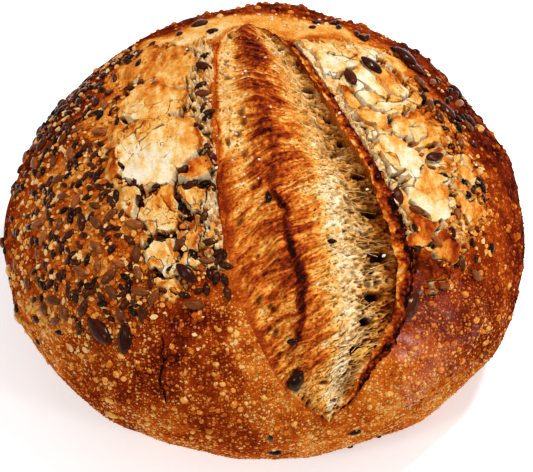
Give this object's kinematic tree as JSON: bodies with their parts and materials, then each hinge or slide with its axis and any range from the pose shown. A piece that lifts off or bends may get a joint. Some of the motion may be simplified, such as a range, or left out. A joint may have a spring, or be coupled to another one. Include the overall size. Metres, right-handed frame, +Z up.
{
  "type": "multigrain sourdough loaf",
  "caption": "Round crusty bread loaf with one long cut that split open along its top, a raised ear, cracked floury crust and seeds on its sides.",
  "frame": {"origin": "middle of the bounding box's bottom face, on the surface the loaf rests on", "axes": "+Z up, +X to the right of the picture, +Y towards the back of the loaf; the long cut runs along Y"},
  "size_m": [0.2005, 0.198, 0.0984],
  "materials": {
    "crust": "baked crust, brown and slightly glossy",
    "crumb": "torn, toasted crumb, matt",
    "flour": "floury cracked crust, matt and powdery",
    "seed": "toasted seeds with a faint oily sheen"
  },
  "bodies": {
    "root": {"loaf": "crust"}
  },
  "joints": []
}
